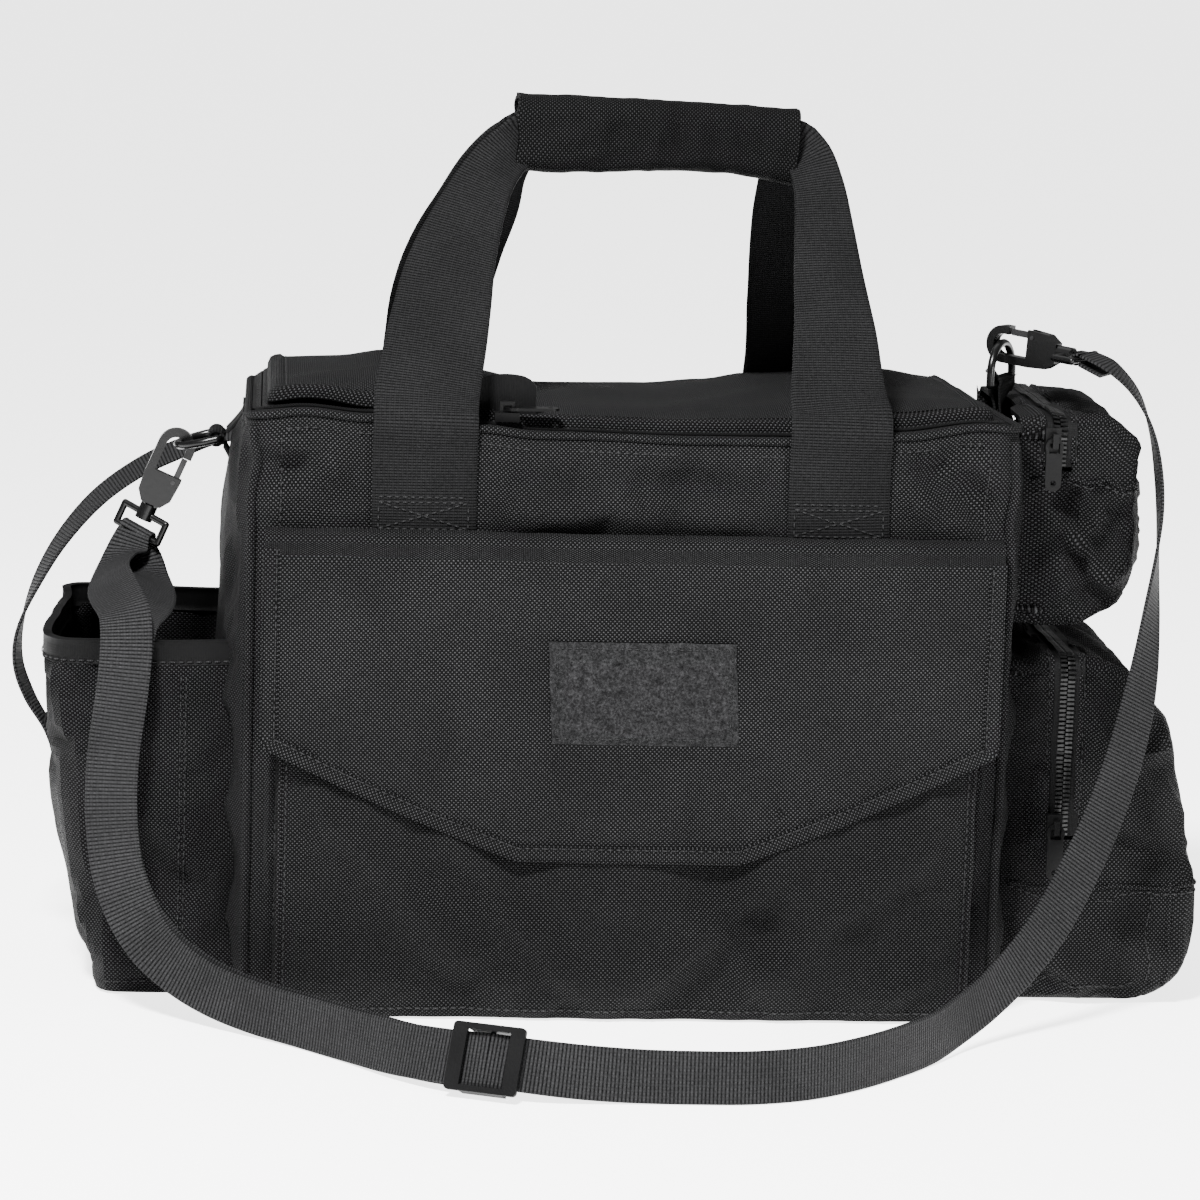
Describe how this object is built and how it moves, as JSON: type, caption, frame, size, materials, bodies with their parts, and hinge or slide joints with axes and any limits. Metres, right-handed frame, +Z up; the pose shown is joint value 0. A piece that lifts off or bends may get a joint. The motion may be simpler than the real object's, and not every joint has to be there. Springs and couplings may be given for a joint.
{
  "type": "flight bag",
  "caption": "Soft-sided flight bag with zipped lid, flap pocket, side pockets, twin wrapped handles and a clip-on shoulder strap.",
  "frame": {"origin": "middle of the main compartment's floor, on the surface the bag stands on", "axes": "+X to the bag's right seen from the front (the pouch side), +Y to the back, +Z up"},
  "size_m": [0.5872, 0.3634, 0.4415],
  "materials": {
    "woven_fabric": "coarse basket-woven polyester, black",
    "binding_tape": "smooth folded nylon tape, black",
    "webbing": "ribbed woven webbing, black",
    "hook_and_loop": "napped loop pile, dark grey",
    "black_metal": "glossy black coating",
    "zip_metal": "satin black coating",
    "zip_coil": "black coil",
    "moulded_plastic": "matte black acetal",
    "stiffener": "grey board"
  },
  "bodies": {
    "root": {"front_panel": "woven_fabric", "rear_panel": "woven_fabric", "left_panel": "woven_fabric", "right_panel": "woven_fabric", "bottom_panel": "woven_fabric", "base_board": "stiffener", "corner_seams": "binding_tape", "top_band": "woven_fabric", "rim_zip": "zip_coil", "pocket_panel": "woven_fabric", "pocket_gusset": "woven_fabric", "pocket_loop_strip": "hook_and_loop", "flap_anchor": "woven_fabric", "front_handle_anchors": "webbing", "rear_handle_anchors": "webbing", "left_pocket_shell": "woven_fabric", "left_pocket_binding": "binding_tape", "closure_pads": "hook_and_loop", "lower_pouch_base": "woven_fabric", "upper_pouch_base": "woven_fabric", "left_ring_tab": "webbing", "right_ring_tab": "webbing", "strap_main": "webbing", "strap_return": "webbing"},
    "lid": {"lid_panel": "woven_fabric", "lid_binding": "binding_tape", "lid_zip": "zip_coil", "lid_pull_tab": "binding_tape"},
    "lid_zip_slider": {"lid_slider": "zip_metal"},
    "lid_zip_pull": {"lid_puller": "zip_metal"},
    "flap": {"flap_panel": "woven_fabric", "flap_binding": "binding_tape", "flap_hook_strip": "hook_and_loop", "id_patch": "hook_and_loop"},
    "front_handle": {"front_handle_webbing": "webbing", "wrap_shell": "woven_fabric"},
    "rear_handle": {"rear_handle_webbing": "webbing", "wrap_closure": "woven_fabric"},
    "pocket_closure": {"closure_strap": "webbing"},
    "lower_door": {"lower_pouch_panel": "woven_fabric"},
    "lower_zip_slider": {"lower_pouch_slider": "zip_metal"},
    "lower_zip_pull": {"lower_pouch_puller": "zip_metal"},
    "upper_door": {"upper_pouch_panel": "woven_fabric"},
    "upper_zip_slider": {"upper_pouch_slider": "zip_metal"},
    "upper_zip_pull": {"upper_pouch_puller": "zip_metal"},
    "left_ring_set": {"left_ring": "black_metal", "left_swivel": "black_metal"},
    "left_snap": {"left_hook": "black_metal", "left_gate_pin": "black_metal"},
    "left_gate_lever": {"left_gate": "black_metal"},
    "right_ring_set": {"right_ring": "black_metal", "right_swivel": "black_metal"},
    "right_snap": {"right_hook": "black_metal", "right_gate_pin": "black_metal"},
    "right_gate_lever": {"right_gate": "black_metal"},
    "adjuster": {"strap_adjuster": "moulded_plastic"}
  },
  "joints": [
    {"name": "handle_fold", "type": "hinge", "parent": "root", "child": "front_handle", "pos_m": [0, -0.104, 0.288], "axis": [1, 0, 0], "range_deg": [0, 110]},
    {"name": "rear_handle_fold", "type": "hinge", "parent": "root", "child": "rear_handle", "pos_m": [0, 0.104, 0.288], "axis": [1, 0, 0], "range_deg": [-110, 0]},
    {"name": "lid_hinge", "type": "hinge", "parent": "root", "child": "lid", "pos_m": [0, 0.098, 0.2899], "axis": [-1, 0, 0], "range_deg": [0, 99]},
    {"name": "lid_zip_slide", "type": "slide", "parent": "root", "child": "lid_zip_slider", "axis": [1, 0, 0], "range_m": [-0.1, 0.2]},
    {"name": "lid_pull_flip", "type": "hinge", "parent": "lid_zip_slider", "child": "lid_zip_pull", "pos_m": [-0.062, -0.0796, 0.295], "axis": [0, -1, 0], "range_deg": [0, 110]},
    {"name": "flap_hinge", "type": "hinge", "parent": "root", "child": "flap", "pos_m": [0, -0.1192, 0.233], "axis": [1, 0, 0], "range_deg": [-165, 0]},
    {"name": "closure_lift", "type": "hinge", "parent": "root", "child": "pocket_closure", "pos_m": [-0.19, 0.032, 0.264], "axis": [0, 1, 0], "range_deg": [0, 75]},
    {"name": "lower_pouch_door", "type": "hinge", "parent": "root", "child": "lower_door", "pos_m": [0.283, 0, 0.084], "axis": [0, 1, 0], "range_deg": [0, 75]},
    {"name": "lower_zip_slide", "type": "slide", "parent": "root", "child": "lower_zip_slider", "axis": [0, 0, 1], "range_m": [0, 0.074]},
    {"name": "lower_pull_flip", "type": "hinge", "parent": "lower_zip_slider", "child": "lower_zip_pull", "pos_m": [0.2154, -0.0801, 0.092], "axis": [-1, 0, 0], "range_deg": [0, 110]},
    {"name": "upper_pouch_door", "type": "hinge", "parent": "root", "child": "upper_door", "pos_m": [0.25, 0, 0.268], "axis": [0, 1, 0], "range_deg": [0, 80]},
    {"name": "upper_zip_slide", "type": "slide", "parent": "root", "child": "upper_zip_slider", "axis": [0, 0, -1], "range_m": [-0.003, 0.008]},
    {"name": "upper_pull_flip", "type": "hinge", "parent": "upper_zip_slider", "child": "upper_zip_pull", "pos_m": [0.2064, -0.0741, 0.284], "axis": [-1, 0, 0], "range_deg": [0, 110]},
    {"name": "left_ring_swing", "type": "hinge", "parent": "root", "child": "left_ring_set", "pos_m": [-0.202, 0, 0.268], "axis": [0, 1, 0], "range_deg": [0, 25], "deforming": ["strap_main", "strap_return"]},
    {"name": "left_hook_turn", "type": "hinge", "parent": "left_ring_set", "child": "left_snap", "pos_m": [-0.22141, 0, 0.26316], "axis": [0.4003, 0, 0.9164], "range_deg": [-25, 25]},
    {"name": "left_gate_push", "type": "hinge", "parent": "left_snap", "child": "left_gate_lever", "pos_m": [-0.22354, 0, 0.2438], "axis": [0, -1, 0], "range_deg": [0, 18], "stiffness_Nm_per_rad": 0.03},
    {"name": "right_ring_swing", "type": "hinge", "parent": "root", "child": "right_ring_set", "pos_m": [0.191, 0, 0.303], "axis": [0.5, 0.866, 0], "range_deg": [-20, 0], "deforming": ["strap_main"]},
    {"name": "right_hook_turn", "type": "hinge", "parent": "right_ring_set", "child": "right_snap", "pos_m": [0.191, 0, 0.323], "axis": [-0.7413, 0.6675, 0.0698], "range_deg": [-20, 20]},
    {"name": "right_gate_push", "type": "hinge", "parent": "right_snap", "child": "right_gate_lever", "pos_m": [0.20509, -0.01269, 0.32749], "axis": [-0.6691, -0.7431, 0], "range_deg": [0, 18], "stiffness_Nm_per_rad": 0.03},
    {"name": "adjuster_slide", "type": "slide", "parent": "root", "child": "adjuster", "axis": [0.9232, -0.3843, 0], "range_m": [-0.003, 0.003]}
  ],
  "couplings": [
    {"joint": "rear_handle_fold", "follows": "handle_fold", "ratio": -1},
    {"joint": "lid_hinge", "follows": "handle_fold", "ratio": 0.9}
  ]
}
